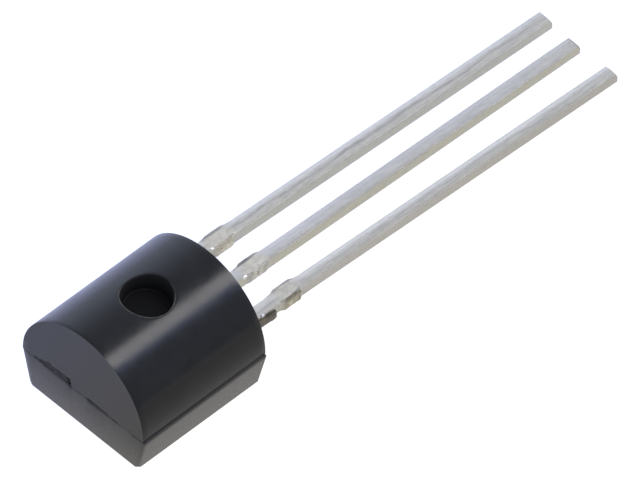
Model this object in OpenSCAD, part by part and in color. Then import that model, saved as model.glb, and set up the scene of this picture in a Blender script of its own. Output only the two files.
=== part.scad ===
// TO-92 transistor, lying on its flat face with the round face up.
// X runs across the leads, Y along them to their tips, and Z up from the flat face, whose centre is the origin.

/* [Package body] */
// Width of the round half across the leads
body_width = 4.50; // [4.2:0.02:5.2]
// Length of the round half along the leads
body_length = 4.49; // [4.3:0.01:5.6]
// Height of the drafted half, from the flat face to the parting line
slab_height = 1.24; // [0.9:0.01:1.6]
// Lean of each side of the drafted half, from the parting line to the flat face
side_draft = 0.22; // [0.02:0.01:0.4]
// Lean of each end of the drafted half, from the parting line to the flat face
end_draft = 0.02; // [0.01:0.01:0.3]
// How far the drafted half stands out beyond the round half at each side
side_ledge = 0.025; // [0.005:0.005:0.06]
// How far the drafted half stands back behind the round half at each end
end_ledge = 0.01; // [0.005:0.005:0.06]

/* [Ejector recess] */
// Diameter of the round recess at the crown
recess_d = 1.45; // [1.0:0.01:2.0]
// Diameter of the recess at its floor
recess_floor_d = 1.28; // [0.9:0.01:1.9]
// Depth of the recess below the crown
recess_depth = 0.53; // [0.3:0.01:0.9]

/* [Gate scar] */
// Length of the scar where the moulding gate broke off, across the end face
gate_width = 1.2; // [0.6:0.05:1.6]
// Height of the scar above the parting line, at its steep end
gate_height = 0.32; // [0.1:0.02:0.5]
// Depth of the scar into the end face
gate_depth = 0.04; // [0.03:0.005:0.1]
// Distance of the scar's steep end from the middle of the body
gate_offset = 0.52; // [0.3:0.02:0.6]

/* [Leads] */
// Distance between neighbouring leads
lead_pitch = 1.27; // [1.1:0.01:1.5]
// Length of the leads outside the body
lead_length = 13.9; // [8:0.1:20]
// Width of a lead
lead_width = 0.40; // [0.3:0.01:0.55]
// Thickness of the lead frame
lead_thickness = 0.38; // [0.3:0.01:0.5]
// Distance from the body to the stubs of the sheared dam bar
stub_start = 1.33; // [1:0.01:2.5]
// Length of the stubs along the lead
stub_length = 0.80; // [0.5:0.05:1.2]
// How far a stub stands out on each side of the lead
stub_reach = 0.05; // [0.03:0.01:0.15]
// Chamfer at the ends of a stub and at the cut tip
edge_chamfer = 0.05; // [0.01:0.01:0.07]
// Angle at which all the leads droop beyond the stubs
lead_droop = 3.1; // [0:0.1:4]
// Angle at which the base lead leans towards the emitter lead
base_lean = 0.5; // [0:0.1:1]

/* [Lead frame inside the body] */
// Width of the die pad
pad_width = 1.75; // [1.4:0.05:1.9]
// Length of the die pad
pad_length = 1.45; // [1.1:0.05:1.6]
// Plastic between the die pad and the end of the body
pad_cover = 0.62; // [0.4:0.02:0.8]
// Width of the base lead's bond post
post_width = 0.8; // [0.5:0.05:1]
// Length of the bond posts
post_length = 0.55; // [0.4:0.05:0.7]
// Gap between the die pad and the bond posts
frame_gap = 0.25; // [0.15:0.01:0.35]

/* [Die and bond wires] */
// Side of the square die
die_side = 0.55; // [0.5:0.01:0.8]
// Thickness of the die
die_height = 0.22; // [0.15:0.01:0.3]
// Thickness of the layer that fixes the die to the pad
attach_height = 0.03; // [0.02:0.005:0.06]
// How far that layer reaches out from under the die
attach_margin = 0.05; // [0.02:0.01:0.1]
// Diameter of the bond wires
wire_d = 0.04; // [0.03:0.005:0.05]
// Rise of a wire's loop over the straight line between its ends
wire_rise = 0.4; // [0.25:0.01:0.5]
// Distance of the two bonds from the middle of the die
bond_offset = 0.13; // [0.1:0.01:0.17]
// Diameter of the ball bond on the die
ball_d = 0.12; // [0.1:0.01:0.14]
// Height of the ball bond
ball_height = 0.06; // [0.055:0.005:0.08]
// Diameter of the stitch bond on the post
stitch_d = 0.14; // [0.12:0.01:0.2]
// Height of the stitch bond
stitch_height = 0.06; // [0.055:0.005:0.08]

/* [Hidden] */
$fn = 64;

// Body: its ends, its crown and the flat face's size
round_radius = body_width / 2;
crown_z = slab_height + round_radius;
top_end_y = -body_length / 2;
lead_end_y = body_length / 2;
slab_width = body_width + 2 * side_ledge;
slab_length = body_length - 2 * end_ledge;
flat_width = slab_width - 2 * side_draft;
flat_length = slab_length - 2 * end_draft;

// Lead frame: it lies on the parting plane, and the leads bend in the middle of the stubs
frame_top_z = slab_height + lead_thickness;
frame_mid_z = slab_height + lead_thickness / 2;
bend_from_body = stub_start + stub_length / 2;
bend_y = lead_end_y + bend_from_body;
run_length = lead_length - bend_from_body;
tip_drop = run_length * tan(lead_droop);
mitre = lead_thickness / 2 * tan(lead_droop / 2);

// Die pad: its outer side is in line with the collector lead
pad_right_x = lead_pitch + lead_width / 2;
pad_left_x = pad_right_x - pad_width;
pad_end_y = top_end_y + pad_cover;
pad_near_y = pad_end_y + pad_length;

// Bond posts: the emitter's beside the pad, the base's below it
emitter_post_right_x = pad_left_x - frame_gap;
emitter_post_left_x = -lead_pitch - lead_width / 2;
emitter_post_end_y = pad_near_y - post_length;
base_post_end_y = pad_near_y + frame_gap;

// Die, in the middle of its pad, and the points where the wires are bonded
die_x = (pad_left_x + pad_right_x) / 2;
die_y = (pad_end_y + pad_near_y) / 2;
die_base_z = frame_top_z + attach_height;
die_top_z = die_base_z + die_height;
emitter_bond = [die_x - bond_offset, die_y, die_top_z];
base_bond = [die_x, die_y + bond_offset, die_top_z];
emitter_post_mid = [(emitter_post_left_x + emitter_post_right_x) / 2,
                    emitter_post_end_y + post_length / 2, frame_top_z];
base_post_mid = [0, base_post_end_y + post_length / 2, frame_top_z];

plastic = [0.16, 0.16, 0.17];
tin = [0.76, 0.77, 0.79];
silver_epoxy = [0.60, 0.60, 0.58];
silicon = [0.30, 0.32, 0.38];
gold = [0.85, 0.68, 0.30];

// Turns an outline drawn in X and Z into a solid of the given length, centred along Y
module along_y(length) {
    rotate([90, 0, 0])
        linear_extrude(height = length, center = true)
            children();
}

// Turns an outline drawn in Y and Z into a solid of the given width, centred along X
module along_x(width) {
    rotate([90, 0, 90])
        linear_extrude(height = width, center = true)
            children();
}

// Side view of the drafted half: wide at the parting line, narrow at the flat face
module draft_outline(wide, narrow) {
    polygon([[-narrow / 2, 0], [narrow / 2, 0], [wide / 2, slab_height], [-wide / 2, slab_height]]);
}

module drafted_half() {
    intersection() {
        along_y(body_length) draft_outline(slab_width, flat_width);
        along_x(2 * body_width) draft_outline(slab_length, flat_length);
    }
}

module round_half() {
    translate([0, 0, slab_height])
        along_y(body_length)
            intersection() {
                circle(r = round_radius);
                translate([-body_width, 0])
                    square([2 * body_width, body_width]);
            }
}

// Both halves are one shot of plastic: this block round the lead frame reaches into each of them
module core() {
    core_length = body_length - 2 * pad_cover;
    core_low_z = slab_height / 2;
    translate([-lead_pitch, -core_length / 2, core_low_z])
        cube([2 * lead_pitch, core_length, frame_mid_z - core_low_z]);
}

// The recess widens from its floor to the crown, and the cutter goes on at the same slope above it
module ejector_recess() {
    translate([0, 0, crown_z - recess_depth])
        cylinder(d1 = recess_floor_d, d2 = 2 * recess_d - recess_floor_d, h = 2 * recess_depth);
}

// The broken gate tapers away from its steep end, on the side of the emitter lead
module gate_scar() {
    translate([-gate_offset, top_end_y, slab_height])
        along_y(2 * gate_depth)
            polygon([[-gate_width, 0], [0, 0], [0, gate_height]]);
}

module package_body() {
    color(plastic)
        difference() {
            union() {
                round_half();
                drafted_half();
                core();
            }
            ejector_recess();
            gate_scar();
            union() {
                emitter_lead();
                base_lead();
                collector_lead();
                die_attach();
                silicon_die();
                emitter_wire();
                base_wire();
            }
        }
}

// Flat blank from one Y to another, centred on a lead
module strip(x, from_y, to_y, width) {
    translate([x - width / 2, from_y])
        square([width, to_y - from_y]);
}

// Outline of a stub pair, centred on the bend
module stub_outline() {
    wide = lead_width / 2 + stub_reach;
    half = stub_length / 2;
    polygon([[-wide, edge_chamfer - half], [edge_chamfer - wide, -half],
             [wide - edge_chamfer, -half], [wide, edge_chamfer - half],
             [wide, half - edge_chamfer], [wide - edge_chamfer, half],
             [edge_chamfer - wide, half], [-wide, half - edge_chamfer]]);
}

// Outline of the run from the bend to the cut tip
module run_outline() {
    side = lead_width / 2;
    polygon([[-side, 0], [side, 0], [side, run_length - edge_chamfer], [side - edge_chamfer, run_length],
             [edge_chamfer - side, run_length], [-side, run_length - edge_chamfer]]);
}

// Stamped outline of a lead from its inner end to its tip
module lead_outline(x, inner_y, lean) {
    strip(x, inner_y, bend_y, lead_width);
    translate([x, bend_y]) {
        stub_outline();
        rotate(lean) run_outline();
    }
}

// Side view of the lead frame: level up to the bend, drooping beyond it
module frame_side_view() {
    past_tip = run_length + lead_thickness;
    drop = past_tip * tan(lead_droop);
    rise = lead_thickness / 2 / cos(lead_droop);
    polygon([[top_end_y, slab_height], [bend_y - mitre, slab_height],
             [bend_y + past_tip, frame_mid_z - drop - rise], [bend_y + past_tip, frame_mid_z - drop + rise],
             [bend_y + mitre, frame_top_z], [top_end_y, frame_top_z]]);
}

// A lead: the outline drawn as children, stamped from the sheet and bent
module stamped() {
    stamp_low = slab_height - tip_drop - body_width;
    stamp_high = crown_z;
    color(tin)
        intersection() {
            translate([0, 0, stamp_low])
                linear_extrude(height = stamp_high - stamp_low)
                    union() children();
            along_x(2 * body_width) frame_side_view();
        }
}

module emitter_lead() {
    stamped() {
        lead_outline(-lead_pitch, emitter_post_end_y, 0);
        translate([emitter_post_left_x, emitter_post_end_y])
            square([emitter_post_right_x - emitter_post_left_x, post_length]);
    }
}

module base_lead() {
    stamped() {
        lead_outline(0, base_post_end_y, base_lean);
        strip(0, base_post_end_y, base_post_end_y + post_length, post_width);
    }
}

module collector_lead() {
    stamped() {
        lead_outline(lead_pitch, pad_end_y, 0);
        translate([pad_left_x, pad_end_y])
            square([pad_width, pad_length]);
    }
}

// Square plate on the die pad, with its underside at the given height
module plate(side, base_z, height) {
    translate([die_x - side / 2, die_y - side / 2, base_z])
        cube([side, side, height]);
}

module die_attach() {
    color(silver_epoxy)
        plate(die_side + 2 * attach_margin, frame_top_z, attach_height);
}

module silicon_die() {
    color(silicon)
        plate(die_side, die_base_z, die_height);
}

// Wire from a ball bond on the die to a stitch bond on a post, along one arc
module bond_wire(die_point, post_point) {
    span = norm([post_point.x - die_point.x, post_point.y - die_point.y]);
    fall = die_point.z + ball_height / 2 - post_point.z - stitch_height / 2;
    chord = norm([span, fall]);
    radius = (chord * chord / 4 + wire_rise * wire_rise) / (2 * wire_rise);
    half_sweep = asin(chord / 2 / radius);
    tilt = -atan2(fall, span);
    depth = radius - wire_rise;
    centre = [span / 2 + depth * sin(tilt), -fall / 2 - depth * cos(tilt), 0];
    heading = atan2(post_point.y - die_point.y, post_point.x - die_point.x);
    color(gold)
        union() {
            translate(die_point)
                cylinder(d = ball_d, h = ball_height);
            translate(post_point)
                cylinder(d = stitch_d, h = stitch_height);
            translate(die_point + [0, 0, ball_height / 2])
                rotate([90, 0, heading])
                    translate(centre)
                        rotate(90 + tilt - half_sweep)
                            rotate_extrude(angle = 2 * half_sweep)
                                translate([radius, 0])
                                    circle(d = wire_d);
        }
}

module emitter_wire() {
    bond_wire(emitter_bond, emitter_post_mid);
}

module base_wire() {
    bond_wire(base_bond, base_post_mid);
}

package_body();
emitter_lead();
base_lead();
collector_lead();
die_attach();
silicon_die();
emitter_wire();
base_wire();
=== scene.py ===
"""TO-92 transistor on a white sheet: moulded body with a round and a flat side, and three tinned leads."""

import math

import bmesh
import bpy
from mathutils import Matrix, Vector, noise


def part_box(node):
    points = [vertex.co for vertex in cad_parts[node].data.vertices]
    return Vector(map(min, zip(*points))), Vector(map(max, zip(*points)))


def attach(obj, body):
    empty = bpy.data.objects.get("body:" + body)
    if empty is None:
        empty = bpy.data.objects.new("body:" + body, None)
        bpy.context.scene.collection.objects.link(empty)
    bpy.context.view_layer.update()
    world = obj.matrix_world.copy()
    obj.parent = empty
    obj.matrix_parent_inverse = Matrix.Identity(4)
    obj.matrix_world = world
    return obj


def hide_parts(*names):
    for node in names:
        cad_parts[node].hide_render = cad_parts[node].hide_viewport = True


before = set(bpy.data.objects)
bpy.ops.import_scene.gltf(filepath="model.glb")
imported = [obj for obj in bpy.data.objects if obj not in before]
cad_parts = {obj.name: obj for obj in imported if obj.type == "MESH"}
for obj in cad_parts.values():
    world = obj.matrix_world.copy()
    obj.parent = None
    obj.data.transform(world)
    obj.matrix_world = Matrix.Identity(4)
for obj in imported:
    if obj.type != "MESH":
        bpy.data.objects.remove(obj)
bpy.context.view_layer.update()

# Sizes are in millimetres up to the point where a finished mesh is scaled to metres.
MM = 0.001

# Without a seed, the roughness of the flash would follow the clock.
noise.seed_set(5)


def node_box(node):
    """Lowest and highest corner of a node of the frame."""
    low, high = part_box(node)
    return low / MM, high / MM


# Points this close lie on one line or in one plane, and points closer still are one point
IN_LINE, ONE_POINT = 1e-4, 1e-5

half_width, half_length, crown_z = node_box("package_body")[1]
lead_thickness = 0.38
parting_z = node_box("die_attach")[0].z - lead_thickness
round_radius = crown_z - parting_z

# Drafted half of the body: the mould halves don't quite meet, so it sits a little to the collector's side
slab_half_width, slab_shift = half_width + 0.02, 0.025
slab_left_lean, slab_right_lean, slab_end_lean = 0.19, 0.25, 0.03
slab_foot, slab_edge, slab_top_inset, slab_top_drop = 0.035, 0.02, 0.12, 0.005
lip_radius, lip_low_z = 0.28, parting_z - 0.125

# Its corners, by their ways along X and Y: their rounding, how much rounder the foot is there, and how
# much sharper the top is
slab_corners = {(-1, -1): 0.22, (1, -1): 0.12, (1, 1): 0.035, (-1, 1): 0.09}
corner_feet = {(-1, -1): 0.09, (1, -1): 0.05, (1, 1): 0.01, (-1, 1): 0.03}
corner_keen = {(-1, -1): 0.75, (1, -1): 0.65, (1, 1): 0.0, (-1, 1): 0.0}

# Round half of the body: its roundings along the parting line and round the ends, the share of the first
# that the sides keep, the swell of the left side and the height where it is full
round_edge, arc_edge, side_edge_share = 0.03, 0.015, 0.2
left_swell, swell_height = 0.01, 0.5

# Open parting line at the front: its reach along X in the round half, and the cuts that let it wander
gap_half_width, gap_cuts = 2.1, 80

# Ejector recess in the crown, a little nearer to the leads than the middle
recess_radius, recess_floor_radius, recess_depth, recess_shift = 0.725, 0.64, 0.53, 0.036
recess_rim, recess_foot = 0.035, 0.04
recess_floor_z = crown_z - recess_depth

# Scar of the broken gate on the end face: its reach along X and its height above the parting line, and the
# patch of small cells round it
scar_low_x, scar_high_x, scar_height = -1.98, -0.42, 0.30
patch_low_x, patch_high_x, patch_height = scar_low_x - 0.04, scar_high_x + 0.06, scar_height + 0.06
patch_columns, patch_rows = 48, 14

# Lead frame: its stubs are what is left of the dam bar, and the leads bend halfway along them
lead_pitch, lead_width = 1.27, 0.40
post_length, pad_length = 0.55, 1.45
stub_start, stub_length, stub_taper = 1.33, 0.80, 0.12
lead_droop, base_lean, outer_lean = math.radians(3.1), math.radians(0.5), math.radians(-0.05)
frame_low_z = parting_z
frame_high_z = node_box("emitter_lead")[1].z
stub_low_y = half_length + stub_start
stub_high_y = stub_low_y + stub_length
bend_y = stub_low_y + stub_length / 2

# Edges of a lead: the rolled strip on its left, how far from the stubs that ends, the rounding underneath,
# and the rounding and the slants of the cropped tip
strip_width, strip_end = 0.15, 0.25
under_edge, tip_edge = 0.03, 0.055
tip_left_slant, tip_top_slant = 0.07, 0.10


def new_finish(name):
    """A material with its shader and the piece's own coordinates."""
    finish = bpy.data.materials.new(name)
    finish.use_nodes = True
    tree = finish.node_tree
    place = tree.nodes.new("ShaderNodeTexCoord")
    return finish, tree, tree.nodes["Principled BSDF"], place.outputs["Object"]


def grain(tree, place, size, detail=2.0, roughness=0.5):
    """Cloudy grain: size is its width in millimetres, or three widths for a grain that is drawn out."""
    widths = size if isinstance(size, tuple) else (size, size, size)
    stretch = tree.nodes.new("ShaderNodeMapping")
    stretch.inputs["Scale"].default_value = [1 / (w * MM) for w in widths]
    tree.links.new(place, stretch.inputs["Vector"])
    cloud = tree.nodes.new("ShaderNodeTexNoise")
    cloud.inputs["Scale"].default_value = 1.0
    cloud.inputs["Detail"].default_value = detail
    cloud.inputs["Roughness"].default_value = roughness
    tree.links.new(stretch.outputs["Vector"], cloud.inputs["Vector"])
    return cloud.outputs["Fac"]


def between(tree, amount, low, high, floor=0.3, top=0.7):
    """A number that goes from low to high while the amount goes from floor to top."""
    ramp = tree.nodes.new("ShaderNodeMapRange")
    ramp.inputs["From Min"].default_value = floor
    ramp.inputs["From Max"].default_value = top
    ramp.inputs["To Min"].default_value = low
    ramp.inputs["To Max"].default_value = high
    tree.links.new(amount, ramp.inputs["Value"])
    return ramp.outputs["Result"]


def tones(tree, amount, *steps):
    """A colour that follows the amount through the given steps of amount and colour."""
    ramp = tree.nodes.new("ShaderNodeValToRGB")
    band = ramp.color_ramp
    while len(band.elements) < len(steps):
        band.elements.new(0.5)
    for element, (spot, colour) in zip(band.elements, steps):
        element.position = spot
        element.color = (*colour, 1)
    tree.links.new(amount, ramp.inputs["Fac"])
    return ramp.outputs["Color"]


def laid_over(tree, amount, under, over):
    """One colour laid over another by an amount."""
    mix = tree.nodes.new("ShaderNodeMix")
    mix.data_type = "RGBA"
    tree.links.new(amount, mix.inputs["Factor"])
    tree.links.new(under, mix.inputs["A"])
    if isinstance(over, tuple):
        mix.inputs["B"].default_value = (*over, 1)
    else:
        tree.links.new(over, mix.inputs["B"])
    return mix.outputs["Result"]


def along(tree, place, axis):
    """The piece's own X, Y or Z in metres."""
    split = tree.nodes.new("ShaderNodeSeparateXYZ")
    tree.links.new(place, split.inputs["Vector"])
    return split.outputs[axis]


def counted(tree, operation, *terms):
    """The outcome of a sum on fields and numbers."""
    sum_node = tree.nodes.new("ShaderNodeMath")
    sum_node.operation = operation
    for socket, term in zip(sum_node.inputs, terms):
        if isinstance(term, float):
            socket.default_value = term
        else:
            tree.links.new(term, socket)
    return sum_node.outputs["Value"]


def raised(tree, shader, height, depth, under=None):
    """Relief of the given depth in millimetres."""
    bump = tree.nodes.new("ShaderNodeBump")
    bump.inputs["Strength"].default_value = 1.0
    bump.inputs["Distance"].default_value = depth * MM
    tree.links.new(height, bump.inputs["Height"])
    if under:
        tree.links.new(under, bump.inputs["Normal"])
    tree.links.new(bump.outputs["Normal"], shader.inputs["Normal"])
    return bump.outputs["Normal"]


def satin_epoxy():
    """Round face: a fine satin that fades towards the parting line, rubbed on the emitter lead's side."""
    finish, tree, shader, place = new_finish("satin epoxy")
    cloud = grain(tree, place, 0.5, 3)
    speck = grain(tree, place, 0.06, 2)
    base = tones(tree, cloud, (0.3, (0.0026, 0.0027, 0.0034)), (0.7, (0.0045, 0.0047, 0.0058)))
    shade = laid_over(tree, between(tree, speck, 0.0, 0.3, 0.55, 0.75), base, (0.010, 0.010, 0.012))
    tree.links.new(shade, shader.inputs["Base Color"])
    graded = between(tree, along(tree, place, "X"), 0.11, 0.0, -2.0 * MM, -1.0 * MM)
    rough = counted(tree, "ADD", between(tree, cloud, 0.20, 0.26), graded)
    tree.links.new(rough, shader.inputs["Roughness"])
    height = along(tree, place, "Z")
    gloss = between(tree, height, 0.18, 0.36, (parting_z + 0.95) * MM, (parting_z + 1.4) * MM)
    tree.links.new(gloss, shader.inputs["Specular IOR Level"])
    soft = raised(tree, shader, grain(tree, place, 0.35, 2), 0.0012)
    raised(tree, shader, speck, 0.0006, soft)
    return finish


def recess_epoxy_with_painted_shade():
    """Wall and floor of the ejector recess: rough, and dark with painted shade that lifts towards the rim.
    """
    finish, tree, shader, place = new_finish("recess epoxy with painted shade")
    grit = grain(tree, place, 0.08, 3)
    # Painted shade: the recess is darker than the rest of the body, darkest at its floor and paler at the
    # rim
    dark = tones(tree, grit, (0.3, (0.0012, 0.0012, 0.0015)), (0.7, (0.0024, 0.0024, 0.0028)))
    rise = between(tree, along(tree, place, "Z"), 0.0, 1.0, recess_floor_z * MM, crown_z * MM)
    tree.links.new(laid_over(tree, rise, dark, (0.014, 0.014, 0.015)), shader.inputs["Base Color"])
    tree.links.new(between(tree, grit, 0.60, 0.75), shader.inputs["Roughness"])
    shader.inputs["Specular IOR Level"].default_value = 0.12
    raised(tree, shader, grit, 0.004)
    return finish


def rim_epoxy():
    """Rim of the recess, with a patchy painted highlight towards the front and the collector lead."""
    finish, tree, shader, place = new_finish("recess rim epoxy")
    grit = grain(tree, place, 0.06, 3)
    dark = tones(tree, grit, (0.3, (0.0030, 0.0030, 0.0036)), (0.7, (0.0060, 0.0060, 0.0068)))
    # Painted highlight: paler on the side of the rim towards the front and the collector lead
    near = counted(tree, "SUBTRACT", along(tree, place, "X"), along(tree, place, "Y"))
    tone_weight = between(tree, grain(tree, place, 0.25, 3), 0.35, 0.95)
    painted_highlight = counted(tree, "MULTIPLY", tone_weight, between(tree, near, 0.0, 1.0, -0.7 * MM, 0.1 * MM))
    tree.links.new(laid_over(tree, painted_highlight, dark, (0.085, 0.080, 0.070)), shader.inputs["Base Color"])
    tree.links.new(between(tree, grit, 0.42, 0.55), shader.inputs["Roughness"])
    shader.inputs["Specular IOR Level"].default_value = 0.2
    raised(tree, shader, grit, 0.002)
    return finish


def matt_epoxy():
    """Ends, sides and flat face: spark-eroded mould steel leaves them matt, and painted light pales the
    foot.
    """
    finish, tree, shader, place = new_finish("matt epoxy")
    cloud = grain(tree, place, 0.35, 3)
    speck = grain(tree, place, 0.05, 2)
    base = tones(tree, cloud, (0.3, (0.0028, 0.0028, 0.0034)), (0.7, (0.0055, 0.0055, 0.0064)))
    shade = laid_over(tree, between(tree, speck, 0.0, 0.4, 0.5, 0.75), base, (0.014, 0.014, 0.015))
    height = along(tree, place, "Z")
    # Painted light: the foot is paler and warmer, as if lit from the white sheet below
    foot = between(tree, height, 0.8, 0.0, 0.05 * MM, 1.25 * MM)
    graded = laid_over(tree, foot, shade, (0.051, 0.047, 0.043))
    tree.links.new(graded, shader.inputs["Base Color"])
    gloss = between(tree, height, 0.36, 0.318, 1.10 * MM, 1.30 * MM)
    tree.links.new(gloss, shader.inputs["Specular IOR Level"])
    tree.links.new(between(tree, speck, 0.34, 0.46), shader.inputs["Roughness"])
    soft = raised(tree, shader, cloud, 0.0015)
    raised(tree, shader, speck, 0.0025, soft)
    return finish


def broken_epoxy():
    """Rough break where the gate came off."""
    finish, tree, shader, place = new_finish("broken epoxy")
    grit = grain(tree, place, 0.07, 4, 0.65)
    shade = tones(tree, grit, (0.35, (0.003, 0.003, 0.003)), (0.65, (0.020, 0.020, 0.019)))
    tree.links.new(shade, shader.inputs["Base Color"])
    tree.links.new(between(tree, grit, 0.5, 0.75), shader.inputs["Roughness"])
    shader.inputs["Specular IOR Level"].default_value = 0.25
    raised(tree, shader, grit, 0.03)
    return finish


def resin_flash():
    """Thin brown-black resin that crept along a lead."""
    finish, tree, shader, place = new_finish("resin flash")
    grit = grain(tree, place, 0.09, 4, 0.6)
    shade = tones(tree, grit, (0.35, (0.012, 0.009, 0.006)), (0.50, (0.050, 0.036, 0.020)),
                  (0.70, (0.130, 0.094, 0.052)))
    tree.links.new(shade, shader.inputs["Base Color"])
    tree.links.new(between(tree, grit, 0.35, 0.6), shader.inputs["Roughness"])
    raised(tree, shader, grit, 0.012)
    return finish


def scaled(colour, share):
    """A colour made brighter or darker."""
    return tuple(c * share for c in colour)


def drawn_tin(tree, place, colour):
    """Tin that was drawn through a die: fine marks along the lead, and small mottles."""
    streak = grain(tree, place, (0.05, 1.6, 0.05), 4, 0.6)
    mottle = grain(tree, place, (0.11, 0.22, 0.11), 4, 0.6)
    base = tones(tree, streak, (0.30, scaled(colour, 0.93)), (0.70, scaled(colour, 1.06)))
    return laid_over(tree, between(tree, mottle, 0.0, 0.7, 0.45, 0.8), base, scaled(colour, 0.80))


def dented(tree, shader, place, rough_low, rough_high):
    """Gloss and relief of tin plate."""
    streak = grain(tree, place, (0.05, 1.6, 0.05), 4, 0.6)
    tree.links.new(between(tree, streak, rough_low, rough_high), shader.inputs["Roughness"])
    lines = raised(tree, shader, streak, 0.002)
    raised(tree, shader, grain(tree, place, 0.13, 3), 0.004, lines)


def top_plate(name, x, cool, warm, pressed, turn, line, tone_weight, lip, lip_shade, dull):
    """Upper side of a lead, cool on its left and warm on its right, with a dark line between.

    The turn from cool to warm and the line are places across the lead. Between the stubs the tin is pressed
    to a colour of its own, with painted shade on the lip on the left, and the outer run may be dulled by
    handling."""
    turn_width, line_width, wander_width = 0.05, 0.065, 0.035
    handled_from, handled_to, grey_from, grey_to = 5.5, 7.5, 13.0, 15.6
    finish, tree, shader, place = new_finish(name)
    shader.inputs["Metallic"].default_value = 1.0
    across, length = along(tree, place, "X"), along(tree, place, "Y")
    wander = between(tree, grain(tree, place, (4.0, 0.9, 4.0), 3), -wander_width * MM, wander_width * MM)
    across = counted(tree, "ADD", across, wander)
    sides = between(tree, across, 0.0, 1.0, (x + turn - turn_width) * MM, (x + turn + turn_width) * MM)
    shade = laid_over(tree, sides, drawn_tin(tree, place, cool), drawn_tin(tree, place, warm))
    # A dark line along the lead, between its cool and warm sides
    if tone_weight:
        off = counted(tree, "ABSOLUTE", counted(tree, "SUBTRACT", across, (x + line) * MM))
        dark = counted(tree, "MULTIPLY", between(tree, off, tone_weight, 0.0, 0.0, line_width * MM),
                       between(tree, grain(tree, place, (0.05, 0.6, 0.05), 3), 0.35, 1.0))
        shade = laid_over(tree, dark, shade, (0.30, 0.285, 0.27))
    if dull:
        handled = between(tree, length, 0.0, dull, handled_from * MM, handled_to * MM)
        patchy = between(tree, grain(tree, place, (0.3, 1.5, 0.3), 3), 0.6, 1.0)
        shade = laid_over(tree, counted(tree, "MULTIPLY", handled, patchy), shade, scaled(warm, 0.78))
    grey = counted(tree, "MULTIPLY", between(tree, length, 0.0, 0.8, grey_from * MM, grey_to * MM),
                   between(tree, grain(tree, place, (0.2, 0.7, 0.2), 3), 0.5, 1.0))
    shade = laid_over(tree, grey, shade, drawn_tin(tree, place, (0.60, 0.58, 0.52)))
    uneven = between(tree, grain(tree, place, 0.16, 3), -0.10 * MM, 0.10 * MM)
    ragged = counted(tree, "ADD", length, uneven)
    rising = between(tree, ragged, 0.0, 1.0, (stub_low_y - 0.15) * MM, (stub_low_y + 0.05) * MM)
    falling = between(tree, ragged, 1.0, 0.0, (stub_high_y - 0.12) * MM, (stub_high_y + 0.12) * MM)
    stubs = counted(tree, "MULTIPLY", rising, falling)
    mottle = tones(tree, grain(tree, place, (0.12, 0.16, 0.12), 4, 0.6), (0.32, scaled(pressed, 0.85)),
                   (0.50, pressed), (0.68, scaled(pressed, 1.12)))
    shade = laid_over(tree, stubs, shade, mottle)
    # Painted shade on the left lip between the stubs
    edge = between(tree, across, lip_shade, 0.0, (x + lip + 0.04) * MM, (x + lip + 0.09) * MM)
    shade = laid_over(tree, counted(tree, "MULTIPLY", edge, stubs), shade, (0.13, 0.125, 0.145))
    tree.links.new(shade, shader.inputs["Base Color"])
    dented(tree, shader, place, 0.32, 0.45)
    return finish


def side_plate(name, colour):
    """Sheared side of a lead, tinned thinly."""
    finish, tree, shader, place = new_finish(name)
    shader.inputs["Metallic"].default_value = 1.0
    tree.links.new(drawn_tin(tree, place, colour), shader.inputs["Base Color"])
    dented(tree, shader, place, 0.38, 0.52)
    return finish


def solder_bead(name, dark, light, rough_low, rough_high):
    """Beads of tin."""
    finish, tree, shader, place = new_finish(name)
    shader.inputs["Metallic"].default_value = 1.0
    cloud = grain(tree, place, 0.03, 2)
    tree.links.new(tones(tree, cloud, (0.3, dark), (0.7, light)), shader.inputs["Base Color"])
    tree.links.new(between(tree, cloud, rough_low, rough_high), shader.inputs["Roughness"])
    raised(tree, shader, cloud, 0.001)
    return finish


def sheared_metal(name, torn, bare, burnished, lip, near, far):
    """Stubs of the dam bar, sheared after plating: torn by a share at the upper lip and at each end."""
    finish, tree, shader, place = new_finish(name)
    shader.inputs["Metallic"].default_value = 0.65
    tear = grain(tree, place, (0.10, 0.15, 0.07), 4, 0.65)
    metal = tones(tree, tear, (0.30, torn), (0.46, bare), (0.70, burnished))
    ragged = between(tree, tear, -0.10 * MM, 0.10 * MM)
    height = counted(tree, "ADD", along(tree, place, "Z"), ragged)
    length = counted(tree, "ADD", along(tree, place, "Y"), ragged)
    upper = between(tree, height, 0.0, lip, (frame_high_z - 0.18) * MM, (frame_high_z - 0.08) * MM)
    first = between(tree, length, near, 0.0, (stub_low_y + 0.18) * MM, (stub_low_y + 0.30) * MM)
    last = between(tree, length, 0.0, far, (stub_high_y - 0.30) * MM, (stub_high_y - 0.16) * MM)
    dark = counted(tree, "MAXIMUM", upper, counted(tree, "MAXIMUM", first, last))
    shade = laid_over(tree, dark, metal, torn)
    start = between(tree, length, 1.0, 0.0, (stub_low_y + 0.02) * MM, (stub_low_y + 0.16) * MM)
    finished = between(tree, length, 0.0, 1.0, (stub_high_y - 0.14) * MM, (stub_high_y - 0.02) * MM)
    plated = laid_over(tree, counted(tree, "MAXIMUM", start, finished), shade, (0.42, 0.405, 0.365))
    tree.links.new(plated, shader.inputs["Base Color"])
    tree.links.new(between(tree, tear, 0.65, 0.4), shader.inputs["Roughness"])
    raised(tree, shader, tear, 0.02)
    return finish


def cut_metal():
    """Tips, cut off after plating: dull grey metal."""
    finish, tree, shader, place = new_finish("cut metal")
    shader.inputs["Metallic"].default_value = 0.8
    tear = grain(tree, place, (0.05, 0.05, 0.16), 4, 0.6)
    shade = tones(tree, tear, (0.35, (0.06, 0.055, 0.06)), (0.65, (0.22, 0.205, 0.21)))
    tree.links.new(shade, shader.inputs["Base Color"])
    tree.links.new(between(tree, tear, 0.45, 0.65), shader.inputs["Roughness"])
    raised(tree, shader, tear, 0.01)
    return finish


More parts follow.
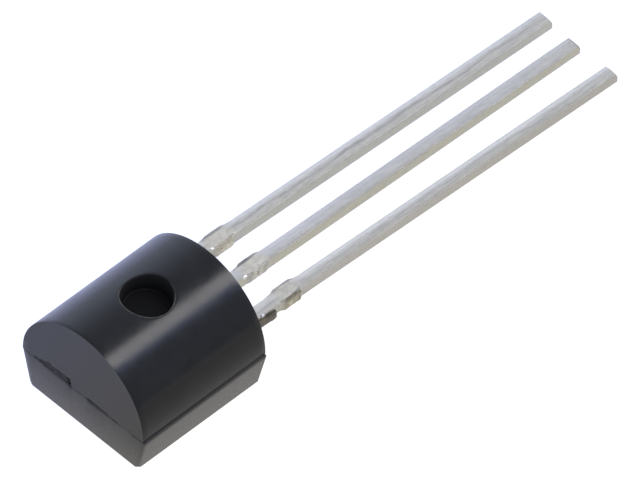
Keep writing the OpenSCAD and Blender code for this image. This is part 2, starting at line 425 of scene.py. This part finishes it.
def inner_finish(name, low, high, size, metallic, rough_low, rough_high, relief):
    """A finish for the pieces inside the epoxy: two tones of a fine grain, with its own gloss and relief."""
    finish, tree, shader, place = new_finish(name)
    shader.inputs["Metallic"].default_value = metallic
    fleck = grain(tree, place, size, 3)
    tree.links.new(tones(tree, fleck, (0.35, low), (0.65, high)), shader.inputs["Base Color"])
    tree.links.new(between(tree, fleck, rough_low, rough_high), shader.inputs["Roughness"])
    raised(tree, shader, fleck, relief)
    return finish


def once(items):
    """Each item once, in the order it came."""
    return list(dict.fromkeys(items))


def only_verts(made):
    """The vertices among what an operation made."""
    return [v for v in made if isinstance(v, bmesh.types.BMVert)]


def open_edges(bm, test):
    """The edges at an opening of the mesh whose two ends pass a test of their place."""
    return [e for e in bm.edges if e.is_boundary and all(test(v.co) for v in e.verts)]


def soften(bm, edges, width, segments):
    """Rounds the given edges, and gives the faces that this makes."""
    return bmesh.ops.bevel(bm, geom=list(edges), offset=width, offset_type="OFFSET", affect="EDGES",
                           segments=segments, profile=0.5, material=-1, clamp_overlap=True)["faces"]


def cut(bm, faces, point, normal):
    """Cuts the given faces along a plane."""
    faces = [f for f in faces if f.is_valid]
    edges = once(e for f in faces for e in f.edges)
    verts = once(v for f in faces for v in f.verts)
    bmesh.ops.bisect_plane(bm, geom=[*faces, *edges, *verts], dist=1e-6, plane_co=point, plane_no=normal)


# Faces under this area are shaded smooth, and edges that turn by more than this stay sharp
smooth_area, sharp_turn = 0.25, math.radians(40)


def finish_piece(bm, name, finishes, slot, *stands_for):
    """Closes a mesh that was built in millimetres, and puts it in the frame."""
    bmesh.ops.remove_doubles(bm, verts=bm.verts, dist=ONE_POINT)
    bmesh.ops.recalc_face_normals(bm, faces=bm.faces)
    for face in bm.faces:
        face.smooth = face.calc_area() < smooth_area
    for edge in bm.edges:
        edge.smooth = len(edge.link_faces) == 2 and edge.calc_face_angle(0) < sharp_turn
    bmesh.ops.scale(bm, vec=(MM, MM, MM), verts=bm.verts)
    mesh = bpy.data.meshes.new(name)
    bm.to_mesh(mesh)
    bm.free()
    for finish in finishes:
        mesh.materials.append(finish)
    piece = bpy.data.objects.new(name, mesh)
    bpy.context.scene.collection.objects.link(piece)
    flatten = piece.modifiers.new("flat faces stay flat", "WEIGHTED_NORMAL")
    flatten.keep_sharp = True
    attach(piece, "root")
    if stands_for:
        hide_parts(*stands_for)


# Places in the body's list of finishes, which begins with the satin of the round face
MATT, BROKEN, RECESS, RIM = 1, 2, 3, 4

# How the parting line stands open at the front: places along X, its reach up and down, and its depth
front_gaps = [
    (-2.4, 0.02, 0.03, 0.01), (-1.9, 0.03, 0.06, 0.015), (-1.6, 0.01, 0.06, 0.006),
    (-1.3, 0.02, 0.13, 0.035), (-0.6, 0.02, 0.13, 0.035), (-0.52, 0.03, 0.23, 0.10),
    (-0.45, 0.03, 0.20, 0.09), (-0.36, 0.02, 0.10, 0.02), (-0.13, 0.02, 0.08, 0.012),
    (0.0, 0.005, 0.05, 0.006), (0.12, 0.005, 0.05, 0.008), (0.2, 0.07, 0.19, 0.09),
    (0.5, 0.07, 0.18, 0.08), (0.75, 0.06, 0.15, 0.06), (0.95, 0.06, 0.13, 0.03),
    (1.25, 0.07, 0.13, 0.032), (1.5, 0.004, 0.03, 0.004), (1.7, 0.004, 0.03, 0.004),
    (1.9, 0.03, 0.07, 0.02), (2.4, 0.03, 0.08, 0.02),
]


def front_gap(x):
    """Reach up, reach down and depth of the open parting line, uneven as a mould leaves it."""
    least, ripple, ripples_per_mm = 0.002, 0.4, 6.0
    for (x0, *first), (x1, *last) in zip(front_gaps, front_gaps[1:]):
        if x0 <= x <= x1:
            uneven = 1 + ripple * noise.noise(Vector((x * ripples_per_mm, 0.0, 1.0)))
            return [max(least, (a + (b - a) * (x - x0) / (x1 - x0)) * uneven) for a, b in zip(first, last)]


def round_half(bm):
    """Upper half: a sheet round the recess, wrapped on a cylinder, with its two ends and the parting plane.

    The sheet is a plate on the crown first, and its two sides are then spun down to the parting plane."""
    plate, rim_segments, ring_cuts, spin_steps = 1.45, 128, 11, 26
    bmesh.ops.create_circle(bm, segments=rim_segments, radius=recess_radius)
    outer = only_verts(bmesh.ops.extrude_edge_only(bm, edges=list(bm.edges))["geom"])
    for v in outer:
        reach = max(abs(v.co.x), abs(v.co.y))
        v.co.x *= plate / reach
        v.co.y *= half_length / reach
    spokes = [e for e in bm.edges if len(set(e.verts) & set(outer)) == 1]
    bmesh.ops.subdivide_edges(bm, edges=spokes, cuts=ring_cuts, use_grid_fill=True)
    for v in bm.verts:
        v.co.z = parting_z + math.sqrt(round_radius**2 - v.co.x**2)
    sweep = math.acos(plate / round_radius)
    for side in (1, -1):
        edge = open_edges(bm, lambda spot: abs(spot.x - side * plate) < IN_LINE)
        bmesh.ops.spin(bm, geom=[*edge, *once(v for e in edge for v in e.verts)], axis=(0, 1, 0),
                       cent=(0, 0, parting_z), angle=side * sweep, steps=spin_steps)
    bmesh.ops.remove_doubles(bm, verts=bm.verts, dist=ONE_POINT)

    rim = open_edges(bm, lambda spot: spot.xy.length < recess_radius + IN_LINE)
    wall = bmesh.ops.extrude_edge_only(bm, edges=rim)["geom"]
    for v in only_verts(wall):
        v.co.xy *= recess_floor_radius / recess_radius
        v.co.z = recess_floor_z
    floor_edge = [e for e in wall if isinstance(e, bmesh.types.BMEdge) and e.is_boundary]
    floor = bmesh.ops.edgeloop_fill(bm, edges=floor_edge)["faces"]
    for f in floor + [f for e in rim for f in e.link_faces if f in wall]:
        f.material_index = RECESS
    soften(bm, floor_edge, recess_foot, 3)
    for f in soften(bm, [e for e in rim if e.is_valid], recess_rim, 3):
        f.material_index = RIM
    for v in bm.verts:
        v.co.y += recess_shift * (1 - abs(v.co.y) / half_length)

    low = open_edges(bm, lambda spot: abs(spot.z - parting_z) < IN_LINE)
    arcs = []
    for end in (-1, 1):
        arc = open_edges(bm, lambda spot: abs(spot.y - end * half_length) < IN_LINE)
        corners = [v for v in once(v for e in arc for v in e.verts) if abs(v.co.z - parting_z) < IN_LINE]
        closing = bm.edges.new(corners)
        for f in bmesh.ops.edgeloop_fill(bm, edges=[*arc, closing])["faces"]:
            f.material_index = MATT
        inner = only_verts(bmesh.ops.subdivide_edges(bm, edges=[closing], cuts=gap_cuts)["geom_inner"])
        arcs += arc
        low += once(e for v in inner for e in v.link_edges)
    for f in bmesh.ops.edgeloop_fill(bm, edges=low)["faces"]:
        f.material_index = MATT
    bmesh.ops.recalc_face_normals(bm, faces=bm.faces)
    soften(bm, low, round_edge, 3)
    soften(bm, [e for e in arcs if e.is_valid], arc_edge, 2)
    for v in bm.verts:
        if v.co.z < parting_z + round_edge + IN_LINE:
            side = math.copysign(round_radius, v.co.x)
            if v.co.y < round_edge - half_length + IN_LINE and abs(v.co.x) < gap_half_width:
                up, _, deep = front_gap(v.co.x)
                v.co.z = parting_z + (v.co.z - parting_z) * up / round_edge
                v.co.y = -half_length + (v.co.y + half_length) * deep / round_edge
            elif abs(v.co.x) > round_radius - round_edge - IN_LINE:
                v.co.z = parting_z + (v.co.z - parting_z) * side_edge_share
                v.co.x = side + (v.co.x - side) * side_edge_share
        if v.co.x < 0:
            v.co.x *= 1 + left_swell * min(1.0, (v.co.z - parting_z) / swell_height)


def scar_depth(x, height):
    """Depth of the broken gate: a shallow, torn patch that ends in a deep crescent."""
    rise_length, torn_reach, slope_length = 0.65, 0.05, 0.06
    patch_depth, patch_relief = 0.010, 0.018
    crescent_depth, crescent_width, crescent_top = 0.07, 0.04, 0.72
    rise = min(1.0, max(0.0, (x - scar_low_x) / rise_length))
    torn = torn_reach * noise.noise(Vector((x * 7.0, height * 7.0, 3.0)))
    inside = min(scar_height * rise * 0.85 + torn - height, scar_high_x - 0.05 - x + torn)
    relief = patch_depth + patch_relief * noise.noise(Vector((x * 11.0, height * 15.0, 9.0)))
    patch = min(1.0, max(0.0, inside / slope_length)) * relief
    if height >= scar_height * crescent_top:
        return max(0.0, patch)
    middle = scar_high_x - 0.07 - 0.25 * height - 1.2 * (height - 0.10) ** 2
    return max(0.0, patch, crescent_depth * math.exp(-(((x - middle) / crescent_width) ** 2)))


def gate_scar(bm):
    """Cuts the end face into small cells where the gate broke off, and pushes them in."""
    front_y, break_depth = -half_length, 0.006
    patch = patch_low_x, patch_high_x, patch_height

    def end_faces(low_x=-math.inf, high_x=math.inf, top=math.inf):
        """Faces of the front end between two places along X, up to a height above the parting line."""
        return [f for f in bm.faces if f.normal.y < -0.99 and low_x < f.calc_center_median().x < high_x
                and f.calc_center_median().z < parting_z + top]

    cut(bm, end_faces(), (0, front_y, parting_z + patch_height), (0, 0, 1))
    for x in (patch_low_x, patch_high_x):
        cut(bm, end_faces(top=patch_height), (x, front_y, parting_z), (1, 0, 0))
    for step in range(1, patch_columns):
        x = patch_low_x + (patch_high_x - patch_low_x) * step / patch_columns
        cut(bm, end_faces(*patch), (x, front_y, 0), (1, 0, 0))
    for step in range(2, patch_rows):
        cut(bm, end_faces(*patch), (0, front_y, parting_z + patch_height * step / patch_rows), (0, 0, 1))
    cells = end_faces(*patch)
    for v in once(v for f in cells for v in f.verts):
        v.co.y += scar_depth(v.co.x, v.co.z - parting_z)
    for f in cells:
        if any(v.co.y > front_y + break_depth for v in f.verts):
            f.material_index = BROKEN


def drafted_half(bm):
    """Lower half: an outline with its own rounding at each corner, drawn up ring by ring."""
    corner_segments, foot_steps, edge_steps = 6, 4, 6
    bmesh.ops.create_grid(bm, x_segments=1, y_segments=1, size=1.0)
    bmesh.ops.scale(bm, vec=(slab_half_width, half_length, 1), verts=bm.verts)
    for (way_x, way_y), radius in slab_corners.items():
        spot = Vector((way_x * slab_half_width, way_y * half_length, 0))
        bmesh.ops.bevel(bm, geom=[v for v in bm.verts if (v.co - spot).length < IN_LINE], offset=radius,
                        offset_type="ABSOLUTE", affect="VERTICES", segments=corner_segments, profile=0.5,
                        material=-1)
    front = [e for e in bm.edges if all(v.co.y < -half_length + IN_LINE for v in e.verts)]
    bmesh.ops.subdivide_edges(bm, edges=front, cuts=gap_cuts)
    ring = list(bm.edges)

    def corner(spot):
        """Ways along X and Y to the corner that a point is nearest to."""
        return math.copysign(1, spot.x), math.copysign(1, spot.y)

    def outward(spot):
        """Direction out of the outline at a point on it."""
        way_x, way_y = corner(spot)
        radius = slab_corners[way_x, way_y]
        return Vector((way_x * max(0, abs(spot.x) - slab_half_width + radius),
                       way_y * max(0, abs(spot.y) - half_length + radius))).normalized()

    def rounded(turn, up, deep):
        """Inset and height on a rounded upper edge: turn runs from 0 at the side to 1 at the top."""
        angle = turn * math.pi / 2
        return deep * (1 - math.cos(angle)), parting_z - up * (1 - math.sin(angle))

    def upper_edge(spot, way, turn):
        """Insets and heights of the upper edge at the side and at the end that a point belongs to."""
        if spot.x > 0:
            angle = turn * math.pi / 4
            side = lip_radius * (1 - math.cos(angle)), lip_low_z + lip_radius * math.sin(angle)
        else:
            side = rounded(turn, slab_edge, slab_edge)
        _, down, deep = front_gap(spot.x) if way.y < 0 else (0, slab_edge, slab_edge)
        return side, rounded(turn, down, deep)

    def lower_edge(spot, way, turn):
        """Insets and heights of the lower edge, which is rounder at the corners."""
        angle = turn * math.pi / 2
        radius = slab_foot + corner_feet[corner(spot)] * abs(2 * way.x * way.y)
        step = radius * (1 - math.sin(angle)), radius * (1 - math.cos(angle))
        return step, step

    def keen(spot, way, below):
        """How far a point moves out for a corner that is sharper at the top than at the foot."""
        square = 1 / max(abs(way.x), abs(way.y)) - 1
        return way * slab_corners[corner(spot)] * corner_keen[corner(spot)] * square * (1 - below)

    outline = {v: v.co.copy() for v in bm.verts}
    top = slab_top_inset, parting_z - slab_top_drop
    levels = [(lower_edge, step / foot_steps) for step in range(foot_steps + 1)]
    levels += [(upper_edge, step / edge_steps) for step in range(edge_steps + 1)]
    levels.append((lambda spot, way, turn: (top, top), 1.0))
    for number, (level, turn) in enumerate(levels):
        if number:
            drawn = bmesh.ops.extrude_edge_only(bm, edges=ring)["geom"]
            ring = [e for e in drawn if isinstance(e, bmesh.types.BMEdge) and e.is_boundary]
            fresh = {}
            for v in only_verts(drawn):
                old = next(e.other_vert(v) for e in v.link_edges if e.other_vert(v) in outline)
                fresh[v] = outline[old]
            outline = fresh
        for v, spot in outline.items():
            way = outward(spot)
            (side_inset, side_z), (end_inset, end_z) = level(spot, way, turn)
            v.co.z = way.x**2 * side_z + way.y**2 * end_z
            below = max(0.0, 1 - v.co.z / parting_z)
            side_lean = slab_right_lean if spot.x > 0 else slab_left_lean
            out = spot.xy + keen(spot, way, below)
            v.co.x = out.x * (1 - (side_inset + side_lean * below) / slab_half_width)
            v.co.y = out.y * (1 - (end_inset + slab_end_lean * below) / half_length)
    bmesh.ops.edgeloop_fill(bm, edges=ring)
    bmesh.ops.translate(bm, vec=(slab_shift, 0, 0), verts=bm.verts)
    for f in bm.faces:
        f.material_index = MATT


def epoxy_body():
    """Both halves of the moulded body in one mesh."""
    bm = bmesh.new()
    drafted_half(bm)
    upper = bmesh.new()
    round_half(upper)
    gate_scar(upper)
    bmesh.ops.recalc_face_normals(upper, faces=upper.faces)
    spare = bpy.data.meshes.new("round half")
    upper.to_mesh(spare)
    upper.free()
    bm.from_mesh(spare)
    bpy.data.meshes.remove(spare)
    finishes = [satin_epoxy(), matt_epoxy(), broken_epoxy(), recess_epoxy_with_painted_shade(), rim_epoxy()]
    finish_piece(bm, "epoxy_body", finishes, "epoxy", "package_body")


# Places in a lead's list of finishes, which begins with the plate of its upper and lower side
EDGE, SHEARED, CUT, BEAD = 1, 2, 3, 4


def tinned_lead(name, node, x, inner_length, lean, width, strip_drop, stub_left, stub_right, left_round,
                right_cut, bead, bead_length, extra, finishes):
    """One lead of the stamped frame: blank, rolled strip, stubs, post or pad, edges, tip, bend and bead.

    The bead is given by its distance from the body, its drop below the top and its radius, and by its half
    length. Extra is how much further than the node the tip reaches before its slants."""
    bm = bmesh.new()
    low, high = node_box(node)
    inner_y, tip_y = low.y, high.y
    inner_high_y = inner_y + inner_length
    shear_depth, shear_margin, lumps = 0.02, 0.1, 0.25
    side, strip_x = width / 2, x - width / 2 + strip_width
    strip_low_y, strip_high_y = stub_low_y - strip_end, stub_high_y + strip_end
    middle_z = (frame_low_z + frame_high_z) / 2
    blank = bmesh.ops.create_cube(bm, size=1.0)["verts"]
    bmesh.ops.scale(bm, vec=(width, tip_y - inner_y, lead_thickness), verts=blank)
    bmesh.ops.translate(bm, vec=(x, (tip_y + inner_y) / 2, middle_z), verts=blank)
    for y in (inner_high_y, half_length, strip_low_y, stub_low_y, bend_y, stub_high_y, strip_high_y):
        cut(bm, list(bm.faces), (0, y, 0), (0, 1, 0))
    cut(bm, list(bm.faces), (strip_x, 0, 0), (1, 0, 0))
    cut(bm, list(bm.faces), (0, 0, middle_z), (0, 0, 1))
    for v in bm.verts:
        rolled = v.co.y > half_length and not stub_low_y - IN_LINE < v.co.y < stub_high_y + IN_LINE
        if rolled and v.co.z > frame_high_z - IN_LINE and v.co.x < x - side + IN_LINE:
            v.co.z -= strip_drop

    def flank(way, low_y, high_y):
        """Faces on the left or right side between two places along the lead."""
        return [f for f in bm.faces if f.normal.x * way > 0.9 and low_y < f.calc_center_median().y < high_y]

    for f in bm.faces:
        if abs(f.normal.x) > 0.9:
            f.material_index = EDGE

    def pulled(faces, reach, taper):
        """Draws faces out sideways, and in again at both ends by a taper."""
        verts = only_verts(bmesh.ops.extrude_face_region(bm, geom=faces)["geom"])
        bmesh.ops.delete(bm, geom=faces, context="FACES_ONLY")
        bmesh.ops.translate(bm, vec=(reach, 0, 0), verts=verts)
        first, last = min(v.co.y for v in verts), max(v.co.y for v in verts)
        for v in verts:
            if abs(v.co.y - first) < ONE_POINT:
                v.co.y += taper
            elif abs(v.co.y - last) < ONE_POINT:
                v.co.y -= taper

    for way, reach in ((1, stub_right), (-1, stub_left)):
        pulled(flank(way, stub_low_y, stub_high_y), way * reach, stub_taper)
    pad_left, pad_right, least_reach = min(low.x, x - side), max(high.x, x + side), 0.1
    if x - side - pad_left > least_reach:
        pulled(flank(-1, inner_y, inner_high_y), pad_left - x + side, 0)
    if pad_right - x - side > least_reach:
        pulled(flank(1, inner_y, inner_high_y), pad_right - x - side, 0)
    bmesh.ops.recalc_face_normals(bm, faces=bm.faces)
    upper_z = frame_high_z - 0.06

    def long_edges(way, upper):
        """Upper or lower edges along the left or right side of the outer run."""
        return [e for e in bm.edges if all((v.co.z > upper_z) == upper for v in e.verts)
                and all((v.co.x - x) * way > side - IN_LINE for v in e.verts)
                and all(v.co.y > half_length - IN_LINE for v in e.verts) and e.calc_face_angle(0) > 1]

    soften(bm, long_edges(-1, True), left_round, 4)
    soften(bm, long_edges(1, True), right_cut, 1)
    soften(bm, long_edges(-1, False) + long_edges(1, False), under_edge, 2)
    tip = [e for e in bm.edges if all(abs(v.co.y - tip_y) < IN_LINE for v in e.verts)
           and e.calc_face_angle(0) > 0.6]
    soften(bm, tip, tip_edge, 3)
    for f in bm.faces:
        middle = f.calc_center_median()
        from_stub = min(middle.y - stub_low_y, stub_high_y - middle.y)
        if middle.y > tip_y - tip_edge + IN_LINE:
            f.material_index = CUT
        elif from_stub > 0 and middle.x > x + side - shear_depth and f.normal.x > 0.5:
            f.material_index = SHEARED
        elif from_stub > shear_margin and middle.x < x - side and f.normal.x < -0.7:
            f.material_index = SHEARED
    for v in bm.verts:
        if v.co.y > tip_y - 2 * tip_edge:
            right = (v.co.x - x + side) / width
            above = max(0.0, v.co.z - middle_z) / lead_thickness * 2
            v.co.y += extra - tip_left_slant * (1 - right) - tip_top_slant * right * above
    run = [v for v in bm.verts if v.co.y > bend_y + IN_LINE]
    bmesh.ops.rotate(bm, cent=(x, bend_y, 0), matrix=Matrix.Rotation(lean, 3, "Z"), verts=run)
    for v in run:
        v.co.z -= (v.co.y - bend_y) * math.tan(lead_droop)
    bead_y, bead_drop, bead_round = bead
    drop = bmesh.ops.create_icosphere(bm, subdivisions=3, radius=1.0)["verts"]
    for v in drop:
        v.co *= 1 + lumps * noise.noise(v.co + Vector((x, 0, 0)))
    for f in once(f for v in drop for f in v.link_faces):
        f.material_index = BEAD
    bmesh.ops.scale(bm, vec=(bead_round, bead_length, bead_round), verts=drop)
    spot = x + side - bead_round / 2, half_length + bead_y, frame_high_z - bead_drop
    bmesh.ops.translate(bm, vec=spot, verts=drop)
    finish_piece(bm, name, finishes, "tin", node)


def flash_on_lead():
    """Resin that crept along the outer side of the collector lead, with a lump at its end."""
    bm = bmesh.new()
    side_x = lead_pitch + lead_width / 2
    length, height, thickness = 1.15, 0.32, 0.05
    in_lead, in_body, below = 0.06, 0.2, 0.05
    lump_place, lump_length, lump_height = 0.86, 0.12, 0.03
    rough_x, rough_y, rough_z, slope, edge = 0.025, 0.04, 0.05, 0.07, 0.025
    long_cuts, upright_cuts, lumps_per_mm = 15, 4, 5.0
    skin = bmesh.ops.create_cube(bm, size=1.0)["verts"]
    bmesh.ops.scale(bm, vec=(thickness + in_lead, length + in_body, height), verts=skin)
    middle = (side_x + thickness / 2 - in_lead / 2, half_length + length / 2 - in_body / 2,
              frame_low_z + height / 2 - below)
    bmesh.ops.translate(bm, vec=middle, verts=skin)
    long_way = [e for e in bm.edges if abs((e.verts[0].co - e.verts[1].co).y) > 0.5]
    bmesh.ops.subdivide_edges(bm, edges=long_way, cuts=long_cuts, use_grid_fill=True)
    upright = [e for e in bm.edges if abs((e.verts[0].co - e.verts[1].co).z) > 0.2]
    bmesh.ops.subdivide_edges(bm, edges=upright, cuts=upright_cuts, use_grid_fill=True)
    soften(bm, [e for e in bm.edges if e.calc_face_angle(0) > 1], edge, 2)
    for v in bm.verts:
        share = max(0.0, (v.co.y - half_length) / length)
        rough = noise.noise_vector(v.co * lumps_per_mm)
        lump = math.exp(-(((share - lump_place) / lump_length) ** 2))
        free = min(1.0, 3 * share)
        if v.co.x > side_x:
            v.co.x += (rough_x * rough.x + lump_height * lump) * free
        v.co.z += rough_z * rough.z * free - slope * share * (v.co.z > frame_low_z + 0.1)
        v.co.y += rough_y * rough.y * share
    finish_piece(bm, "resin_flash", [resin_flash()], "epoxy")


def inner_pieces():
    """Finishes for the die and its wires, which stay as the frame has them."""
    looks = {
        "die_attach": inner_finish(
            "silver filled adhesive", (0.30, 0.30, 0.29), (0.72, 0.72, 0.70), size=0.03, metallic=0.7,
            rough_low=0.35, rough_high=0.6, relief=0.004),
        "silicon_die": inner_finish(
            "polished silicon", (0.06, 0.07, 0.09), (0.16, 0.17, 0.21), size=(0.4, 0.4, 0.02), metallic=0.5,
            rough_low=0.12, rough_high=0.3, relief=0.0005),
    }
    gold = inner_finish(
        "drawn gold", (0.72, 0.50, 0.17), (0.90, 0.70, 0.32), size=(0.01, 0.01, 0.01), metallic=1.0,
        rough_low=0.2, rough_high=0.35, relief=0.0004)
    looks["emitter_wire"] = looks["base_wire"] = gold
    for node, finish in looks.items():
        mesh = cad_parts[node].data
        mesh.materials.clear()
        mesh.materials.append(finish)


def white_sheet():
    """White sheet that the part lies on, lit from below as well as above."""
    bm = bmesh.new()
    bmesh.ops.create_grid(bm, x_segments=8, y_segments=8, size=250 * MM)
    mesh = bpy.data.meshes.new("white_sheet")
    bm.to_mesh(mesh)
    bm.free()
    finish, tree, shader, place = new_finish("white sheet")
    fibre = grain(tree, place, 0.6, 3)
    grey = tones(tree, fibre, (0.3, (0.05, 0.05, 0.05)), (0.7, (0.07, 0.07, 0.07)))
    tree.links.new(grey, shader.inputs["Base Color"])
    shader.inputs["Roughness"].default_value = 0.9
    shader.inputs["Specular IOR Level"].default_value = 0.1
    side = between(tree, along(tree, place, "X"), 0.0, 1.0, -5.0 * MM, 3.5 * MM)
    glow = tones(tree, side, (0.0, (1.0, 1.08, 1.60)), (0.76, (1.05, 1.03, 1.0)), (1.0, (1.25, 1.22, 1.18)))
    tree.links.new(glow, shader.inputs["Emission Color"])
    shader.inputs["Emission Strength"].default_value = 1.0
    mesh.materials.append(finish)
    sheet = bpy.data.objects.new("white_sheet", mesh)
    sheet.location.z = -0.01 * MM
    bpy.context.scene.collection.objects.link(sheet)


def soft_box(name, way, distance, width, length, radiance, colour):
    """Softbox that faces the body from the given way and distance, with its length along the leads."""
    back = Vector(way).normalized()
    across = Vector((0, 1, 0)).cross(back).normalized()
    light = bpy.data.lights.new(name, "AREA")
    light.shape = "RECTANGLE"
    light.size, light.size_y = width * MM, length * MM
    light.energy = math.pi * light.size * light.size_y * radiance
    light.color = colour
    box = bpy.data.objects.new(name, light)
    turn = Matrix((across, back.cross(across), back)).transposed().to_4x4()
    box.matrix_world = Matrix.Translation((Vector((0, 0, 2)) + back * distance) * MM) @ turn
    bpy.context.scene.collection.objects.link(box)


def studio():
    """Grey room with a paler, bluish wall on the emitter lead's side, and the softboxes."""
    world = bpy.data.worlds.new("studio")
    bpy.context.scene.world = world
    world.use_nodes = True
    nodes, links = world.node_tree.nodes, world.node_tree.links
    way = nodes.new("ShaderNodeTexCoord")
    toward = nodes.new("ShaderNodeVectorMath")
    toward.operation = "DOT_PRODUCT"
    toward.inputs[1].default_value = Vector((-0.83, 0.48, 0.27)).normalized()
    share = nodes.new("ShaderNodeMapRange")
    share.inputs["From Min"].default_value = 0.70
    share.inputs["From Max"].default_value = 1.0
    swell = nodes.new("ShaderNodeMath")
    swell.operation = "POWER"
    swell.inputs[1].default_value = 2.0
    colour = nodes.new("ShaderNodeMix")
    colour.data_type = "RGBA"
    colour.inputs["A"].default_value = (0.56, 0.60, 0.70, 1)
    colour.inputs["B"].default_value = (1.05, 1.17, 1.45, 1)
    links.new(way.outputs["Generated"], toward.inputs[0])
    links.new(toward.outputs["Value"], share.inputs["Value"])
    links.new(share.outputs["Result"], swell.inputs[0])
    links.new(swell.outputs["Value"], colour.inputs["Factor"])
    links.new(colour.outputs["Result"], nodes["Background"].inputs["Color"])
    soft_box("long softbox", (0.273, 0.479, 0.834), distance=150, width=43, length=260, radiance=6.0,
             colour=(0.98, 0.96, 0.98))
    soft_box("bluish edge of the softbox", (0.46, 0.479, 0.771), distance=150, width=24, length=260,
             radiance=1.2, colour=(0.2, 0.4, 1.0))
    bpy.context.scene.view_settings.view_transform = "Standard"


def camera():
    """Long lens at the photograph's angle."""
    azimuth, elevation, roll = math.radians(43.166), math.radians(48.943), math.radians(2.775)
    look_at, distance = Vector((0.218, 6.2902, 0.9)), 562.03
    lens = bpy.data.cameras.new("camera")
    lens.lens = 1200
    lens.sensor_width = 36
    lens.clip_start, lens.clip_end = 50 * MM, 5000 * MM
    back = Vector((math.sin(azimuth) * math.cos(elevation), -math.cos(azimuth) * math.cos(elevation),
                   math.sin(elevation)))
    view = bpy.data.objects.new("camera", lens)
    turn = (-back).to_track_quat("-Z", "Y").to_matrix() @ Matrix.Rotation(roll, 3, "Z")
    view.matrix_world = Matrix.Translation((look_at + back * distance) * MM) @ turn.to_4x4()
    bpy.context.scene.collection.objects.link(view)
    bpy.context.scene.camera = view


camera()
studio()
white_sheet()
epoxy_body()
cut_end = cut_metal()
bright_bead = solder_bead("bright tin bead", dark=(0.86, 0.85, 0.83), light=(0.97, 0.96, 0.94),
                          rough_low=0.14, rough_high=0.24)
dull_bead = solder_bead("dull tin bead", dark=(0.40, 0.41, 0.42), light=(0.52, 0.53, 0.55),
                        rough_low=0.42, rough_high=0.52)
emitter_side = side_plate("tin plate on the emitter lead's sides", (0.418, 0.412, 0.352))
base_side = side_plate("tin plate on the base lead's sides", (0.425, 0.415, 0.345))
collector_side = side_plate("tin plate on the collector lead's sides", (0.362, 0.352, 0.329))
warm_tin, pressed_tin = (0.62, 0.585, 0.51), (0.70, 0.648, 0.54)

emitter_top = top_plate(
    "tin plate of the emitter lead", -lead_pitch, cool=(0.68, 0.645, 0.59), warm=warm_tin,
    pressed=pressed_tin, turn=0.02, line=0.02, tone_weight=0.8, lip=-0.235, lip_shade=0.6, dull=0.0)
emitter_stubs = sheared_metal(
    "sheared metal on the emitter lead", torn=(0.28, 0.245, 0.18), bare=(0.52, 0.485, 0.37),
    burnished=(0.62, 0.59, 0.465), lip=0.5, near=0.25, far=0.0)
tinned_lead(
    "emitter_lead_tinned", "emitter_lead", x=-lead_pitch - 0.015, inner_length=post_length,
    lean=outer_lean, width=0.445, strip_drop=0.032, stub_left=0.03, stub_right=0.05, left_round=0.035,
    right_cut=0.11, bead=(1.31, 0.015, 0.04), bead_length=0.06, extra=0.12,
    finishes=[emitter_top, emitter_side, emitter_stubs, cut_end, bright_bead])

base_top = top_plate(
    "tin plate of the base lead", 0, cool=(0.67, 0.64, 0.61), warm=scaled(warm_tin, 0.92),
    pressed=pressed_tin, turn=0.10, line=0.0, tone_weight=0.0, lip=-0.225, lip_shade=0.8, dull=0.3)
base_stubs = sheared_metal(
    "sheared metal on the base lead", torn=(0.24, 0.237, 0.205), bare=(0.53, 0.515, 0.44),
    burnished=(0.66, 0.645, 0.56), lip=0.1, near=0.5, far=0.6)
tinned_lead(
    "base_lead_tinned", "base_lead", x=0, inner_length=post_length,
    lean=base_lean, width=0.41, strip_drop=0.022, stub_left=0.05, stub_right=0.03, left_round=0.03,
    right_cut=0.06, bead=(1.26, 0.04, 0.04), bead_length=0.085, extra=0.03,
    finishes=[base_top, base_side, base_stubs, cut_end, bright_bead])

collector_top = top_plate(
    "tin plate of the collector lead", lead_pitch, cool=(0.70, 0.665, 0.60), warm=scaled(warm_tin, 0.9),
    pressed=(0.63, 0.59, 0.497), turn=0.08, line=0.04, tone_weight=0.6, lip=-0.245, lip_shade=0.3, dull=0.0)
collector_stubs = sheared_metal(
    "sheared metal on the collector lead", torn=(0.095, 0.085, 0.06), bare=(0.30, 0.27, 0.19),
    burnished=(0.52, 0.50, 0.385), lip=0.7, near=0.3, far=0.6)
tinned_lead(
    "collector_lead_tinned", "collector_lead", x=lead_pitch - 0.012, inner_length=pad_length,
    lean=outer_lean, width=0.40, strip_drop=0.045, stub_left=0.05, stub_right=0.07, left_round=0.035,
    right_cut=0.05, bead=(0.67, 0.065, 0.06), bead_length=0.09, extra=0.04,
    finishes=[collector_top, collector_side, collector_stubs, cut_end, dull_bead])

flash_on_lead()
inner_pieces()
